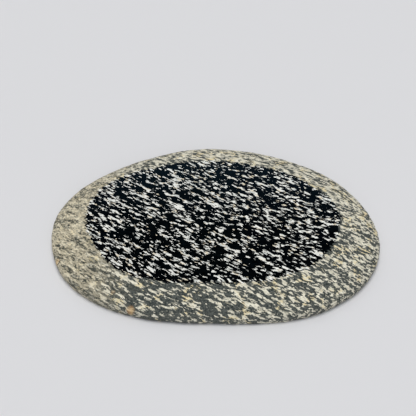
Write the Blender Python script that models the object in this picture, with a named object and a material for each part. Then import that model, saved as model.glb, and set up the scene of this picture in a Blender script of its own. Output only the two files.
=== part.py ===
"""A flat, river-worn massage stone whose top has been ground level and polished.

The stone is one solid. Level rings run from the patch it rests on, out to the waist, which is its
widest section, and in again to the polished face. Lengths are in metres, angles in degrees, +Z is
up, and the origin is on the surface the stone rests on, under the middle of the waist's box.
"""

import math

import bmesh
import bpy

# The waist, the widest level section
LENGTH = 0.150  # along X
WIDTH = 0.122  # along Y

# Heights
BELLY_DEPTH = 0.0032  # from the surface the stone rests on, up to the waist
SHOULDER_RISE = 0.0078  # from the waist, up to the polished face

# The weathered rim round the polished face, as seen from above
RIM_AT_ENDS = 0.017
RIM_AT_SIDES = 0.017
FACE_SHIFT_X = -0.001  # the face's middle from the waist's middle
FACE_SHIFT_Y = -0.0035

# The patch that the stone rests on, set in from the waist
FOOT_INSET_AT_ENDS = 0.0016
FOOT_INSET_AT_SIDES = 0.0014

# What makes an outline a pebble's and not an ellipse: (bulges round it, their swell, first one's turn)
WAIST_LOBES = ((3, 0.030, -35.0), (4, 0.008, -40.0), (5, 0.009, 19.0), (6, 0.004, -15.0), (7, 0.003, -5.0))
FACE_LOBES = ((3, 0.008, -7.0), (4, 0.009, -40.0), (5, 0.009, 18.0))

# Profile arcs, upright at the waist: 2 is an ellipse's quarter, and less is nearer a straight slope
SHOULDER_SQUARENESS = 1.4
BELLY_SQUARENESS = 2.0
SHOULDER_CUT = 0.64  # share of the whole arc's height at which the grinding cut it off
BELLY_CUT = 0.97

# Facets
POINTS_ROUND = 80
SHOULDER_RINGS = 9
BELLY_RINGS = 10
CREASE_ANGLE = 30.0  # sharper edges than this are not shaded smooth

# Finishes: name, linear colour, roughness
FINISHES = (
    ("weathered_stone", (0.27, 0.26, 0.21), 0.85),
    ("polished_stone", (0.03, 0.035, 0.04), 0.15),
)
WEATHERED, POLISHED = range(len(FINISHES))


def outline(length, width, lobes):
    """Points round a closed pebble outline whose box is length by width, centred on the origin."""
    points = []
    for i in range(POINTS_ROUND):
        turn = 2 * math.pi * i / POINTS_ROUND
        swell = 1 + sum(s * math.cos(n * (turn - math.radians(first))) for n, s, first in lobes)
        points.append((length * swell * math.cos(turn), width * swell * math.sin(turn)))
    xs = [x for x, _ in points]
    ys = [y for _, y in points]
    middle = ((min(xs) + max(xs)) / 2, (min(ys) + max(ys)) / 2)
    fit = (length / (max(xs) - min(xs)), width / (max(ys) - min(ys)))
    return [((x - middle[0]) * fit[0], (y - middle[1]) * fit[1]) for x, y in points]


def shifted(points, dx, dy):
    """The same outline, moved sideways."""
    return [(x + dx, y + dy) for x, y in points]


def profile_arc(steps, squareness, cut):
    """(share of the height, share of the inset) at each step from the waist to where the arc is cut off."""
    power = 2 / squareness
    last = math.asin(cut ** (1 / power))
    arc = []
    for i in range(1, steps + 1):
        turn = last * i / steps
        arc.append((math.sin(turn) ** power / cut, 1 - math.cos(turn) ** power))
    whole_inset = arc[-1][1]
    return [(height, inset / whole_inset) for height, inset in arc]


def ring_between(start, end, share, height):
    """A level ring at height, a share of the way from one outline to another."""
    return [(x + (u - x) * share, y + (v - y) * share, height) for (x, y), (u, v) in zip(start, end)]


def stone_rings():
    """Every level ring of the stone, from the foot up to the polished face."""
    waist = outline(LENGTH, WIDTH, WAIST_LOBES)
    foot = outline(LENGTH - 2 * FOOT_INSET_AT_ENDS, WIDTH - 2 * FOOT_INSET_AT_SIDES, WAIST_LOBES)
    face = outline(LENGTH - 2 * RIM_AT_ENDS, WIDTH - 2 * RIM_AT_SIDES, FACE_LOBES)
    face = shifted(face, FACE_SHIFT_X, FACE_SHIFT_Y)
    belly = profile_arc(BELLY_RINGS, BELLY_SQUARENESS, BELLY_CUT)
    shoulder = profile_arc(SHOULDER_RINGS, SHOULDER_SQUARENESS, SHOULDER_CUT)
    rings = [ring_between(waist, foot, inset, BELLY_DEPTH * (1 - drop)) for drop, inset in reversed(belly)]
    rings.append(ring_between(waist, waist, 0, BELLY_DEPTH))
    rings += [ring_between(waist, face, inset, BELLY_DEPTH + SHOULDER_RISE * rise) for rise, inset in shoulder]
    return rings


def stone_mesh():
    """One closed skin over the rings. Its sides are shaded smooth, and its foot and polished face flat."""
    bm = bmesh.new()
    rings = [[bm.verts.new(point) for point in ring] for ring in stone_rings()]
    for lower, upper in zip(rings, rings[1:]):
        for i in range(POINTS_ROUND):
            j = (i + 1) % POINTS_ROUND
            side = bm.faces.new((lower[i], lower[j], upper[j], upper[i]))
            side.smooth = True
    foot = bm.faces.new(list(reversed(rings[0])))
    foot.material_index = WEATHERED
    polished_face = bm.faces.new(rings[-1])
    polished_face.material_index = POLISHED
    mesh = bpy.data.meshes.new("stone")
    bm.to_mesh(mesh)
    bm.free()
    mesh.set_sharp_from_angle(angle=math.radians(CREASE_ANGLE))
    return mesh


def stone_material(name, colour, roughness):
    """A plain mineral finish."""
    material = bpy.data.materials.new(name)
    material.use_nodes = True
    shader = material.node_tree.nodes["Principled BSDF"]
    shader.inputs["Base Color"].default_value = (*colour, 1)
    shader.inputs["Roughness"].default_value = roughness
    shader.inputs["Metallic"].default_value = 0
    return material


def clear_scene():
    """Removes whatever the file opened with."""
    for leftover in list(bpy.data.objects):
        bpy.data.objects.remove(leftover)


def main():
    clear_scene()
    mesh = stone_mesh()
    for finish in FINISHES:
        mesh.materials.append(stone_material(*finish))
    stone = bpy.data.objects.new("stone", mesh)
    bpy.context.scene.collection.objects.link(stone)


main()
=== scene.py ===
"""Looks for the massage stone: a coarse black and white rock, worn dull all round and polished on top.

The scene is in metres, with +Z up. The carving and the material's nodes work in millimetres.
"""

import math
from types import SimpleNamespace

import bmesh
import bpy
import numpy as np
from mathutils import Euler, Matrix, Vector, noise


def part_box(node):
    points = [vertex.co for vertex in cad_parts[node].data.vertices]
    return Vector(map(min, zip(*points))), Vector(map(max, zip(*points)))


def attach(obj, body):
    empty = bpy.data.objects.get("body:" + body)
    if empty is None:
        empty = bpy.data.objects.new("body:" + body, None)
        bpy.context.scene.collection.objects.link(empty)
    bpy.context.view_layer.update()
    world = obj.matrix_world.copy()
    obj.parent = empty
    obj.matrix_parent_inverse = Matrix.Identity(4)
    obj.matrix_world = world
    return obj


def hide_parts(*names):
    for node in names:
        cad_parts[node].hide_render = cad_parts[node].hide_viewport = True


MM = 0.001
SAME_HEIGHT = 1e-6  # metres

# Camera, in degrees and metres. Its picture's middle is turned a little away from the target.
VIEW_ELEVATION = 40.0
VIEW_DISTANCE = 0.492
VIEW_ANGLE = 22.0
VIEW_TARGET = Vector((0.0003, -0.0024, 0.0032))
CAMERA_TURN = (1.19, 0.40, 0.57)  # up, sideways and rolled

# Light: (name, azimuth, elevation, width, strength, colour), the first three numbers in degrees
SUNS = (
    ("overhead", 0, 90, 40, 1.55, (1.0, 0.995, 0.98)),
    ("back", 195, 38, 60, 0.42, (1.0, 0.99, 0.97)),
    ("front", 5, 16, 60, 0.95, (0.96, 0.98, 1.0)),
)
TENT_SEEN = (0.72, 0.72, 0.74)
TENT_LIGHT = (0.225, 0.23, 0.24)

# What the polish mirrors: a dark panel at the back, with a blue glow below it and a grey wall all round
PANEL = (0.003, 0.004, 0.0055)
GLOW = (0.05, 0.12, 0.19)
GLOW_HEIGHTS = (39.0, 35.8)  # degrees above the horizon at which it sets in and is full
WALL = (0.22, 0.225, 0.235)
WALL_HEIGHTS = (32.7, 23.6)
WALL_SIDES = (0.50, 0.10)  # how far towards the back, from 0 to 1, the wall sets in and is full

FLOOR_REACH = 20  # metres to each side
FLOOR_COLOUR = (0.80, 0.80, 0.82)
FLOOR_ROUGHNESS = 0.9

# The carved skin, in millimetres
VOXEL = 0.66
SMOOTHING_PASSES = 8
UPWARD = 0.5  # how far up a normal points, at least, where the skin can be ground
CROWN_SLOPE = 0.28  # how steeply the pebble rose past the polished face's edge before it was ground off
LUMPS = ((34.0, 0.55), (13.0, 0.22))  # (spacing, height)
RIDGES = ((3.4, 0.16), (1.6, 0.08))
RIDGE_STRETCH = 3.0
SWELLS = (  # (direction, spread, height) on the steep sides, the first two in degrees round the stone
    (52.0, 15.0, -1.3),
    (190.0, 12.0, -0.55),
    (228.0, 13.0, -0.6),
    (257.0, 10.0, 0.45),
    (133.0, 12.0, 0.4),
)
FOOT_SINK = 0.6  # how far the lower skin is let down before it is cut off flat at the floor
CARVE_SEED = Vector((31.7, 12.4, 5.9))

# The rock's fabric, which runs right through the stone: angular grains in strings along the streaks
STREAK_ANGLE = -33.0  # degrees from +X, as seen from above
STREAK_BEND = 0.0008  # per millimetre, how fast the streaks curve away from that direction
STREAK_DIP = 0.45  # how far the streaks' layers lean, sideways for each millimetre of height
STREAK_WOBBLES = ((26.0, 3.5), (3.0, 1.0))  # (spacing, reach)
STREAK_STRETCH = 2.5
GRAIN = 0.57  # this and the next six are sizes across the streaks
CLUSTERS = 1.38
PATCHES = 2.6
STRANDS = 0.76
WORN_STRANDS = 1.5
WORN_DUST = 0.7
WORN_BANDS = 2.6
LONGER = (0.6, 1, 1)  # multiplies the streaks' space, which draws them out further
LONGEST = (0.5, 1, 1)
SHORTER = (1.6, 1, 1)  # draws them in
SPECKLE = 0.8  # this and the next four are sizes in every direction
OCHRE_PATCHES = 6.0
RUST_TATTERS = 1.6
POLISH_TATTERS = 2.0
PITS = 0.5
LIGHT_GRAINS = (1.017, 1.023)  # a polished grain is dark below this level, and light above the second
WORN_LIGHT_GRAINS = (1.22, 1.29)  # the same where the rock is weathered

# Finishes, polished and worn
POLISH_EDGE = (0.785, 0.845)  # from dull to glossy, the depth ground off plus the edge's raggedness
WORN_ROUGHNESS = 0.88
POLISHED_ROUGHNESS = 0.10
RELIEF = 0.25
WORN_RELIEF = 0.65  # a share of RELIEF, as is the next
POLISHED_RELIEF = 0.03

# Colours, as (darkest, lightest) where there are two
POLISHED_BLACK = ((0.0002, 0.0003, 0.0004), (0.0015, 0.003, 0.004))
POLISHED_WHITE = ((0.62, 0.65, 0.62), (0.98, 0.98, 0.92))
POLISHED_CREAM = (0.85, 0.72, 0.50)
SLATE = ((0.026, 0.034, 0.033), (0.125, 0.136, 0.123))
CREAM = ((0.60, 0.57, 0.45), (0.94, 0.90, 0.75))
OCHRE = (0.86, 0.72, 0.40)
DUST = ((0.07, 0.07, 0.05), (0.88, 0.78, 0.56))
# painted shade, mixed in low on the sides
LOW_SHADE = (0.10, 0.10, 0.085)
RUST = ((0.34, 0.17, 0.07), (0.92, 0.70, 0.38))

# Rust spots, and a patch of painted shade, on the weathered rim, in millimetres: (x, y, z, radius)
RUST_SPOTS = (
    (-69.0, -26.0, 3.0, 2.6),
    (-42.5, -48.0, 6.0, 2.0),
    (-35.0, -55.6, 3.5, 2.6),
)
# painted shade: a patch low on the front rim with fewer light grains, drawn darker as the front's shade
FRONT_SHADE_PATCH = (-10.0, -58.0, 4.0, 30.0)
BLEACHED_END = (-20.0, -50.0)  # along X, where bleaching sets in and where it is full
LOW_SHADE_HEIGHTS = (9.0, 4.0)  # where the painted shade towards the floor sets in and where it is full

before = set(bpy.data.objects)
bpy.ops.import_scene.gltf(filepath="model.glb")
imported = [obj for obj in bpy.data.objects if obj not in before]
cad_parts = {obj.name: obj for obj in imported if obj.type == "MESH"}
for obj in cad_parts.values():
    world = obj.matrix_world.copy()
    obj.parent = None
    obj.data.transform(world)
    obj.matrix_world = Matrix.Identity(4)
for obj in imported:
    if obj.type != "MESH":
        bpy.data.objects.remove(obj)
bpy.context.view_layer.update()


class Nodes:
    """Adds nodes to a shader tree. An input may be a number, a vector or another node's output."""

    def __init__(self, tree):
        self.tree = tree

    def add(self, kind, **settings):
        node = self.tree.nodes.new("ShaderNode" + kind)
        for name, value in settings.items():
            setattr(node, name, value)
        return node

    def feed(self, socket, value):
        if isinstance(value, bpy.types.NodeSocket):
            self.tree.links.new(value, socket)
        else:
            socket.default_value = value

    def parts(self, kind, value):
        """The outputs of a Separate node."""
        node = self.add(kind)
        self.feed(node.inputs[0], value)
        return node.outputs

    def math(self, operation, *values):
        node = self.add("Math", operation=operation)
        for socket, value in zip(node.inputs, values):
            self.feed(socket, value)
        return node.outputs[0]

    def total(self, *terms, start=0.0):
        """The sum of (value, weight) pairs."""
        for value, weight in terms:
            start = self.math("MULTIPLY_ADD", value, weight, start)
        return start

    def vector(self, operation, a, b):
        node = self.add("VectorMath", operation=operation)
        self.feed(node.inputs[0], a)
        self.feed(node.inputs["Scale" if operation == "SCALE" else 1], b)
        return node.outputs["Value" if operation == "DISTANCE" else "Vector"]

    def noise(self, place, spacing, detail=2.0, roughness=0.5, output="Fac"):
        node = self.add("TexNoise")
        self.feed(node.inputs["Vector"], place)
        self.feed(node.inputs["Scale"], 1 / spacing)
        self.feed(node.inputs["Detail"], detail)
        self.feed(node.inputs["Roughness"], roughness)
        return node.outputs[output]

    def cells(self, place, spacing):
        """Each point's grain: its random red, green and blue, and the place of its middle."""
        node = self.add("TexVoronoi")
        self.feed(node.inputs["Vector"], place)
        self.feed(node.inputs["Scale"], 1 / spacing)
        return self.parts("SeparateColor", node.outputs["Color"]), node.outputs["Position"]

    def step(self, value, start, end, low=0.0, high=1.0):
        """A soft step from low at start to high at end."""
        node = self.add("MapRange", interpolation_type="SMOOTHSTEP")
        for socket, fed in zip(node.inputs, (value, start, end, low, high)):
            self.feed(socket, fed)
        return node.outputs[0]

    def mix(self, share, a, b):
        node = self.add("Mix", data_type="RGBA")
        self.feed(node.inputs[0], share)
        self.feed(node.inputs[6], a if isinstance(a, bpy.types.NodeSocket) else (*a, 1))
        self.feed(node.inputs[7], b if isinstance(b, bpy.types.NodeSocket) else (*b, 1))
        return node.outputs[2]


def make_camera():
    """Looks down at the stone from the front."""
    elevation = math.radians(VIEW_ELEVATION)
    away = Vector((0, -math.cos(elevation), math.sin(elevation)))
    data = bpy.data.cameras.new("camera")
    data.sensor_width = 36
    data.angle = math.radians(VIEW_ANGLE)
    data.clip_start = 0.01
    data.clip_end = 50
    camera = bpy.data.objects.new("camera", data)
    bpy.context.scene.collection.objects.link(camera)
    camera.location = VIEW_TARGET + away * VIEW_DISTANCE
    aim = (-away).to_track_quat("-Z", "Y").to_matrix()
    turn = Euler([math.radians(t) for t in CAMERA_TURN]).to_matrix()
    camera.rotation_euler = (aim @ turn).to_euler()
    bpy.context.scene.camera = camera


def make_floor():
    """A plain pale surface that reaches the horizon."""
    bm = bmesh.new()
    bmesh.ops.create_grid(bm, x_segments=1, y_segments=1, size=FLOOR_REACH)
    mesh = bpy.data.meshes.new("floor")
    bm.to_mesh(mesh)
    bm.free()
    floor = bpy.data.objects.new("floor", mesh)
    bpy.context.scene.collection.objects.link(floor)
    material = bpy.data.materials.new("pale_floor")
    material.use_nodes = True
    shader = material.node_tree.nodes["Principled BSDF"]
    shader.inputs["Base Color"].default_value = (*FLOOR_COLOUR, 1)
    shader.inputs["Roughness"].default_value = FLOOR_ROUGHNESS
    mesh.materials.append(material)


def add_sun(name, azimuth, elevation, width, strength, colour):
    """A soft light from far away, not mirrored by the polish. Azimuth 0 is the front, 90 the right."""
    data = bpy.data.lights.new(name, "SUN")
    data.energy = strength
    data.angle = math.radians(width)
    data.color = colour
    lamp = bpy.data.objects.new(name, data)
    a, e = math.radians(azimuth), math.radians(elevation)
    towards = Vector((math.sin(a) * math.cos(e), -math.cos(a) * math.cos(e), math.sin(e)))
    lamp.rotation_euler = towards.to_track_quat("Z", "Y").to_euler()
    lamp.visible_glossy = False
    bpy.context.scene.collection.objects.link(lamp)


def make_world():
    """A white tent, which looks darker to the rays that leave a polished surface."""
    world = bpy.data.worlds.new("tent")
    world.use_nodes = True
    n = Nodes(world.node_tree)
    towards = n.parts("SeparateXYZ", n.add("TexCoord").outputs["Generated"])
    glow = [math.sin(math.radians(height)) for height in GLOW_HEIGHTS]
    wall = [math.sin(math.radians(height)) for height in WALL_HEIGHTS]
    back = n.mix(n.step(towards["Z"], *glow), PANEL, GLOW)
    back = n.mix(n.step(towards["Z"], *wall), back, WALL)
    mirrored = n.mix(n.step(towards["Y"], *WALL_SIDES), back, WALL)
    ray = n.add("LightPath").outputs
    lit = n.mix(ray["Is Glossy Ray"], TENT_LIGHT, mirrored)
    seen = n.mix(ray["Is Camera Ray"], lit, TENT_SEEN)
    n.feed(world.node_tree.nodes["Background"].inputs["Color"], seen)
    bpy.context.scene.world = world
    bpy.context.scene.view_settings.view_transform = "Standard"


def remeshed(node):
    """A fine, even copy of a CAD node's skin as a new object."""
    copy = bpy.data.objects.new("stone_surface", node.data.copy())
    bpy.context.scene.collection.objects.link(copy)
    remesh = copy.modifiers.new("remesh", "REMESH")
    remesh.mode = "VOXEL"
    remesh.voxel_size = VOXEL * MM
    remesh.use_smooth_shade = True
    soften = copy.modifiers.new("soften", "SMOOTH")
    soften.iterations = SMOOTHING_PASSES
    shown = copy.evaluated_get(bpy.context.evaluated_depsgraph_get())
    copy.data = bpy.data.meshes.new_from_object(shown)
    copy.modifiers.clear()
    return copy


def face_outline(node):
    """The polished face's corners in order round it, in millimetres, seen from above."""
    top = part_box("stone")[1].z
    level = [v.co for v in node.data.vertices if top - v.co.z < SAME_HEIGHT]
    corners = {(round(c.x / MM, 4), round(c.y / MM, 4)) for c in level}
    middle = np.mean(list(corners), axis=0)
    return np.array(sorted(corners, key=lambda c: math.atan2(c[1] - middle[1], c[0] - middle[0])))


def depth_inside(points, outline):
    """How far each point lies inside a closed outline, negative outside."""
    nearest = np.full(len(points), np.inf)
    inside = np.zeros(len(points), bool)
    for a, b in zip(outline, np.roll(outline, -1, axis=0)):
        along = b - a
        share = np.clip((points - a) @ along / (along @ along), 0, 1)
        gap = points - a - share[:, None] * along
        nearest = np.minimum(nearest, np.hypot(gap[:, 0], gap[:, 1]))
        crosses = (a[1] > points[:, 1]) != (b[1] > points[:, 1])
        with np.errstate(divide="ignore", invalid="ignore"):
            at = a[0] + (points[:, 1] - a[1]) / (b[1] - a[1]) * along[0]
        inside ^= crosses & (points[:, 0] < at)
    return np.where(inside, nearest, -nearest)


def noise_at(points, spacing):
    """Smooth noise from about -1 to 1 at each point, with bumps about spacing apart."""
    return np.array([noise.noise(Vector(p) / spacing + CARVE_SEED) for p in points])


def along_streaks(points):
    """Points turned so that X runs along the streaks."""
    a = math.radians(-STREAK_ANGLE)
    x = points[:, 0] * math.cos(a) - points[:, 1] * math.sin(a)
    y = points[:, 0] * math.sin(a) + points[:, 1] * math.cos(a)
    return np.column_stack((x, y, points[:, 2]))


def carve(stone):
    """Gives the skin its lumps, ridges and swells, and grinds the top level.

    Each point's attribute "ground" says how many millimetres were ground off there, up to 1. It is
    negative where nothing was.
    """
    mesh = stone.data
    count = len(mesh.vertices)
    places = np.empty(count * 3)
    normals = np.empty(count * 3)
    mesh.vertices.foreach_get("co", places)
    mesh.vertices.foreach_get("normal", normals)
    places = places.reshape(-1, 3) / MM
    normals = normals.reshape(-1, 3)
    bottom, top = (corner.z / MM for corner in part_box("stone"))
    inset = depth_inside(places[:, :2], face_outline(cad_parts["stone"]))
    stretched = along_streaks(places) / (RIDGE_STRETCH, 1, 1)
    raise_by = sum(height * noise_at(places, spacing) for spacing, height in LUMPS)
    raise_by += sum(height * noise_at(stretched, spacing) for spacing, height in RIDGES)
    turn = np.degrees(np.arctan2(places[:, 1], places[:, 0]))
    steepness = 1 - normals[:, 2] ** 2
    for direction, spread, height in SWELLS:
        off = (turn - direction + 180) % 360 - 180
        raise_by += height * np.exp(-(off / spread) ** 2) * steepness
    upper = normals[:, 2] > UPWARD
    crown = np.where(upper, np.clip(inset, 0, None) * CROWN_SLOPE, 0)
    carved = places + normals * raise_by[:, None]
    carved[:, 2] += crown - FOOT_SINK * np.clip(-normals[:, 2], 0, 1)
    ground = np.where(upper, carved[:, 2] - top, -1.0)
    carved[:, 2] = np.clip(carved[:, 2], bottom, top)
    mesh.vertices.foreach_set("co", (carved * MM).ravel())
    mark = mesh.attributes.new("ground", "FLOAT", "POINT")
    mark.data.foreach_set("value", np.clip(ground, -1, 1))
    mesh.update()


def wobble(n, place, spacing, reach, detail=1.0):
    """The place, pushed about by up to half of reach."""
    push = n.noise(place, spacing, detail, output="Color")
    push = n.vector("SCALE", n.vector("SUBTRACT", push, (0.5, 0.5, 0.5)), reach)
    return n.vector("ADD", place, push)


def streak_space(n, place):
    """Coordinates in which the streaks are drawn: X runs along them, and is squeezed."""
    sag = n.add("CombineXYZ")
    along = n.parts("SeparateXYZ", place)["X"]
    n.feed(sag.inputs["Y"], n.math("MULTIPLY", n.math("POWER", along, 2.0), -STREAK_BEND))
    bent = n.vector("ADD", place, sag.outputs[0])
    for spacing, reach in STREAK_WOBBLES:
        bent = wobble(n, bent, spacing, reach, detail=1.5)
    turned = n.add("VectorRotate", rotation_type="Z_AXIS")
    n.feed(turned.inputs["Vector"], bent)
    n.feed(turned.inputs["Angle"], math.radians(-STREAK_ANGLE))
    lean = n.add("CombineXYZ")
    n.feed(lean.inputs["Y"], n.math("MULTIPLY", n.parts("SeparateXYZ", place)["Z"], STREAK_DIP))
    layered = n.vector("ADD", turned.outputs[0], lean.outputs[0])
    return n.vector("MULTIPLY", layered, (1 / STREAK_STRETCH, 1, 1))


def rock_fabric(n, place):
    """What both finishes share: each grain's random draws, and the level that makes it dark or light."""
    streaks = streak_space(n, place)
    grain, middle = n.cells(wobble(n, streaks, GRAIN, GRAIN), GRAIN)
    patches = n.noise(n.vector("MULTIPLY", middle, LONGER), PATCHES)
    clusters = n.noise(middle, CLUSTERS, roughness=0.6)
    strands = n.noise(n.vector("MULTIPLY", streaks, LONGER), STRANDS, detail=1.0)
    level = n.total((clusters, 1.0), (patches, 0.45), (strands, 0.35), (grain["Red"], 0.07))
    return SimpleNamespace(place=place, streaks=streaks, grain=grain, patches=patches, level=level)


def polished_colour(n, fabric):
    """Near-black and white grains, some of them cream."""
    white = n.mix(n.step(fabric.grain["Green"], 0.0, 0.55), *POLISHED_WHITE)
    white = n.mix(n.step(fabric.grain["Blue"], 0.86, 0.92, high=0.7), white, POLISHED_CREAM)
    black = n.mix(fabric.grain["Green"], *POLISHED_BLACK)
    return n.mix(n.step(fabric.level, *LIGHT_GRAINS), black, white)


def near(n, place, spot, radius, core):
    """1 within core of a spot, fading to 0 at radius."""
    return n.step(n.vector("DISTANCE", place, spot), radius, core)


def weathered_colour(n, fabric):
    """Slate and cream grains with softer edges, ochre patches, a bleached end, rust, and painted shade
    at the front and low down.
    """
    side = n.parts("SeparateXYZ", fabric.place)
    speckle = n.noise(fabric.place, SPECKLE, roughness=0.7)
    # Painted shade: fewer light grains in a patch low on the front rim, for the shade that falls on the
    # front
    *spot, radius = FRONT_SHADE_PATCH
    front_shade = near(n, fabric.place, spot, radius, radius / 4)
    strands = n.noise(n.vector("MULTIPLY", fabric.streaks, LONGER), WORN_STRANDS, roughness=0.6)
    level = n.total(
        (fabric.level, 1.0),
        (strands, 0.60),
        (fabric.patches, -0.15),
        (speckle, 0.16),
        (side["X"], 0.00015),
        # painted shade: lighter grains towards the back, darker towards the front
        (side["Y"], 0.0006),
        (front_shade, -0.035),
    )
    slate = n.mix(n.step(speckle, 0.3, 0.7), *SLATE)
    cream = n.mix(fabric.grain["Green"], *CREAM)
    ochre = n.step(n.noise(fabric.place, OCHRE_PATCHES), 0.53, 0.63)
    ochre = n.math("MULTIPLY", ochre, n.step(fabric.grain["Blue"], 0.2, 0.5, high=0.75))
    colour = n.mix(n.step(level, *WORN_LIGHT_GRAINS), slate, n.mix(ochre, cream, OCHRE))

    dust = n.cells(n.vector("MULTIPLY", fabric.streaks, SHORTER), WORN_DUST)[0]["Red"]
    bands = n.noise(n.vector("MULTIPLY", fabric.streaks, LONGEST), WORN_BANDS, roughness=0.6)
    bands = n.step(bands, 0.38, 0.62)
    dusty = n.mix(n.step(n.total((dust, 0.6), (bands, 0.4)), 0.22, 0.76), *DUST)
    bleached = n.step(n.total((side["X"], 1.0), (fabric.patches, 24.0)), *BLEACHED_END, high=0.66)
    colour = n.mix(bleached, colour, dusty)
    # Painted shade: the colour is darkened towards the floor, where the lower sides fall into shade
    low_shade = n.step(n.total((side["Z"], 1.0), (fabric.patches, 4.0)), *LOW_SHADE_HEIGHTS, high=0.22)
    colour = n.mix(low_shade, colour, LOW_SHADE)

    ragged = wobble(n, fabric.place, RUST_TATTERS, RUST_TATTERS, detail=2.0)
    rust = n.mix(dust, *RUST)
    for *spot, radius in RUST_SPOTS:
        stain = near(n, ragged, spot, radius, radius * 0.3)
        colour = n.mix(n.math("MULTIPLY", stain, 0.85), colour, rust)
    return colour


def rock_material():
    """Black and white streaked rock, dull where it is weathered and glossy where it is ground."""
    material = bpy.data.materials.new("rock")
    material.use_nodes = True
    n = Nodes(material.node_tree)
    shader = material.node_tree.nodes["Principled BSDF"]
    place = n.vector("SCALE", n.add("TexCoord").outputs["Object"], 1 / MM)
    fabric = rock_fabric(n, place)

    ground = n.add("Attribute", attribute_name="ground").outputs["Fac"]
    ragged = n.noise(place, POLISH_TATTERS, detail=3.0, roughness=0.6)
    edge = n.total((ground, 1.0), (ragged, 1.2), (fabric.grain["Green"], 0.40))
    polished = n.step(edge, *POLISH_EDGE)
    colour = n.mix(polished, weathered_colour(n, fabric), polished_colour(n, fabric))
    n.feed(shader.inputs["Base Color"], colour)
    smoother = n.total((polished, POLISHED_ROUGHNESS - WORN_ROUGHNESS), start=WORN_ROUGHNESS)
    n.feed(shader.inputs["Roughness"], smoother)

    pits = n.noise(place, PITS, detail=3.0, roughness=0.6)
    relief = n.add("Bump")
    relief.inputs["Distance"].default_value = RELIEF * MM
    flatter = n.total((polished, POLISHED_RELIEF - WORN_RELIEF), start=WORN_RELIEF)
    n.feed(relief.inputs["Strength"], flatter)
    n.feed(relief.inputs["Height"], n.total((pits, 1.0), (fabric.level, 0.5)))
    n.feed(shader.inputs["Normal"], relief.outputs[0])
    return material


def make_stone():
    """The whole stone, in place of its plain CAD solid."""
    stone = remeshed(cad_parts["stone"])
    carve(stone)
    stone.data.materials.clear()
    stone.data.materials.append(rock_material())
    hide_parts("stone")
    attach(stone, "root")


make_camera()
make_floor()
for sun in SUNS:
    add_sun(*sun)
make_world()
make_stone()
